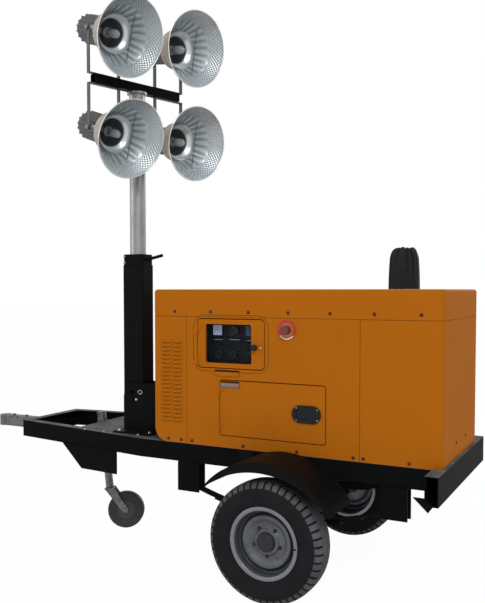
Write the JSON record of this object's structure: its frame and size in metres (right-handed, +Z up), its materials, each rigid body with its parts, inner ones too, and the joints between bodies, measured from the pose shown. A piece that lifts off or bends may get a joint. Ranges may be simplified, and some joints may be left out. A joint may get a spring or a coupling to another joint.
{
  "type": "mobile light tower",
  "caption": "Single-axle trailer with a closed orange generator canopy, a folding telescopic mast on the front deck and tiltable round floodlights.",
  "frame": {"origin": "on the ground, under the middle of the trailer's overall box", "axes": "+X points to the rear, +Y to the trailer's right-hand side, +Z up"},
  "size_m": [3.112, 1.36, 3.0976],
  "materials": {
    "frame_black": "satin black paint",
    "deck_plate": "worn black paint",
    "coupling_grey": "grey cast metal",
    "canopy_orange": "satin orange paint",
    "panel_dark": "matt dark plastic",
    "pane_clear": "clear pane",
    "stop_red": "red plastic",
    "engine_grey": "plain block",
    "exhaust_grey": "grey paint",
    "cover_black": "dark cloth",
    "mast_black": "black paint",
    "mast_steel": "galvanised steel",
    "yoke_steel": "black paint",
    "lamp_shell": "spun aluminium",
    "bulb_glass": "frosted glass",
    "jockey_steel": "galvanised steel",
    "jockey_rubber": "solid black rubber",
    "rim_silver": "silver paint",
    "tyre_black": "dusty black rubber"
  },
  "bodies": {
    "trailer": {"chassis_frame": "frame_black", "rear_beam": "frame_black", "axle": "frame_black", "leaf_spring_left": "frame_black", "leaf_spring_right": "frame_black", "fender_left": "frame_black", "fender_right": "frame_black", "front_deck": "deck_plate", "tow_coupling": "coupling_grey", "canopy_floor": "canopy_orange", "canopy_front": "canopy_orange", "canopy_left_front": "canopy_orange", "canopy_left_mid": "canopy_orange", "canopy_left_rear": "canopy_orange", "canopy_right_front": "canopy_orange", "canopy_right_mid": "canopy_orange", "canopy_right_rear": "canopy_orange", "canopy_rear": "canopy_orange", "canopy_roof": "canopy_orange", "control_panel": "panel_dark", "emergency_stop": "stop_red", "engine_block": "engine_grey", "exhaust_stub": "exhaust_grey", "exhaust_cover": "cover_black", "mast_post": "mast_black", "jockey_sleeve": "jockey_steel"},
    "wheel_left": {"wheel_left": "rim_silver", "tyre_left": "tyre_black"},
    "wheel_right": {"wheel_right": "rim_silver", "tyre_right": "tyre_black"},
    "jockey_leg": {"jockey_leg": "jockey_steel"},
    "jockey_castor": {"jockey_fork": "jockey_steel"},
    "jockey_wheel": {"jockey_wheel": "jockey_rubber"},
    "mast_column": {"mast_outer": "mast_black", "mast_collar": "mast_black"},
    "mast_tube": {"mast_inner": "mast_steel"},
    "head": {"head_bar": "mast_black", "yoke_1": "yoke_steel", "yoke_2": "yoke_steel", "yoke_3": "yoke_steel", "yoke_4": "yoke_steel"},
    "lamp_1": {"lamp_1": "lamp_shell", "bulb_1": "bulb_glass"},
    "lamp_2": {"lamp_2": "lamp_shell", "bulb_2": "bulb_glass"},
    "lamp_3": {"lamp_3": "lamp_shell", "bulb_3": "bulb_glass"},
    "lamp_4": {"lamp_4": "lamp_shell", "bulb_4": "bulb_glass"},
    "window": {"window_door": "canopy_orange", "window_pane": "pane_clear"},
    "service_left": {"service_door_left": "canopy_orange", "door_latch_left": "panel_dark"},
    "service_right": {"service_door_right": "canopy_orange", "door_latch_right": "panel_dark"}
  },
  "joints": [
    {"name": "wheel_left_spin", "type": "hinge", "parent": "trailer", "child": "wheel_left", "pos_m": [0.76, -0.577, 0.297], "axis": [0, 1, 0], "continuous": true},
    {"name": "wheel_right_spin", "type": "hinge", "parent": "trailer", "child": "wheel_right", "pos_m": [0.76, 0.577, 0.297], "axis": [0, 1, 0], "continuous": true},
    {"name": "jockey_lift", "type": "slide", "parent": "trailer", "child": "jockey_leg", "axis": [-0.1288, 0, 0.9917], "range_m": [0, 0.14]},
    {"name": "castor_swivel", "type": "hinge", "parent": "jockey_leg", "child": "jockey_castor", "pos_m": [-0.699, 0, 0.728], "axis": [-0.1288, 0, 0.9917], "continuous": true},
    {"name": "jockey_wheel_spin", "type": "hinge", "parent": "jockey_castor", "child": "jockey_wheel", "pos_m": [-0.54055, 0.04077, 0.11351], "axis": [-0.4594, 0.8862, -0.0597], "continuous": true},
    {"name": "mast_fold", "type": "hinge", "parent": "trailer", "child": "mast_column", "pos_m": [-0.29, -0.166, 0.858], "axis": [0, -1, 0], "range_deg": [0, 90]},
    {"name": "mast_slide", "type": "slide", "parent": "mast_column", "child": "mast_tube", "axis": [0, 0, 1], "range_m": [-0.3, 0]},
    {"name": "head_turn", "type": "hinge", "parent": "mast_tube", "child": "head", "pos_m": [-0.29, -0.166, 2.635], "axis": [0, 0, 1], "range_deg": [-150, 150]},
    {"name": "window_hinge", "type": "hinge", "parent": "trailer", "child": "window", "pos_m": [0.2545, -0.404, 1.2195], "axis": [0, 0, -1], "range_deg": [0, 110]},
    {"name": "service_left_hinge", "type": "hinge", "parent": "trailer", "child": "service_left", "pos_m": [0.3885, -0.404, 0.887], "axis": [0, 0, -1], "range_deg": [0, 110]},
    {"name": "service_right_hinge", "type": "hinge", "parent": "trailer", "child": "service_right", "pos_m": [0.3885, 0.404, 0.887], "axis": [0, 0, 1], "range_deg": [0, 110]},
    {"name": "lamp_1_tilt", "type": "hinge", "parent": "head", "child": "lamp_1", "pos_m": [-0.35724, -0.38595, 2.93], "axis": [-0.2924, -0.9563, 0], "range_deg": [-8, 40]},
    {"name": "lamp_2_tilt", "type": "hinge", "parent": "head", "child": "lamp_2", "pos_m": [-0.22276, 0.05395, 2.93], "axis": [-0.2924, -0.9563, 0], "range_deg": [-8, 40]},
    {"name": "lamp_3_tilt", "type": "hinge", "parent": "head", "child": "lamp_3", "pos_m": [-0.35724, -0.38595, 2.39], "axis": [-0.2924, -0.9563, 0], "range_deg": [-30, 10]},
    {"name": "lamp_4_tilt", "type": "hinge", "parent": "head", "child": "lamp_4", "pos_m": [-0.22276, 0.05395, 2.39], "axis": [-0.2924, -0.9563, 0], "range_deg": [-30, 10]}
  ]
}
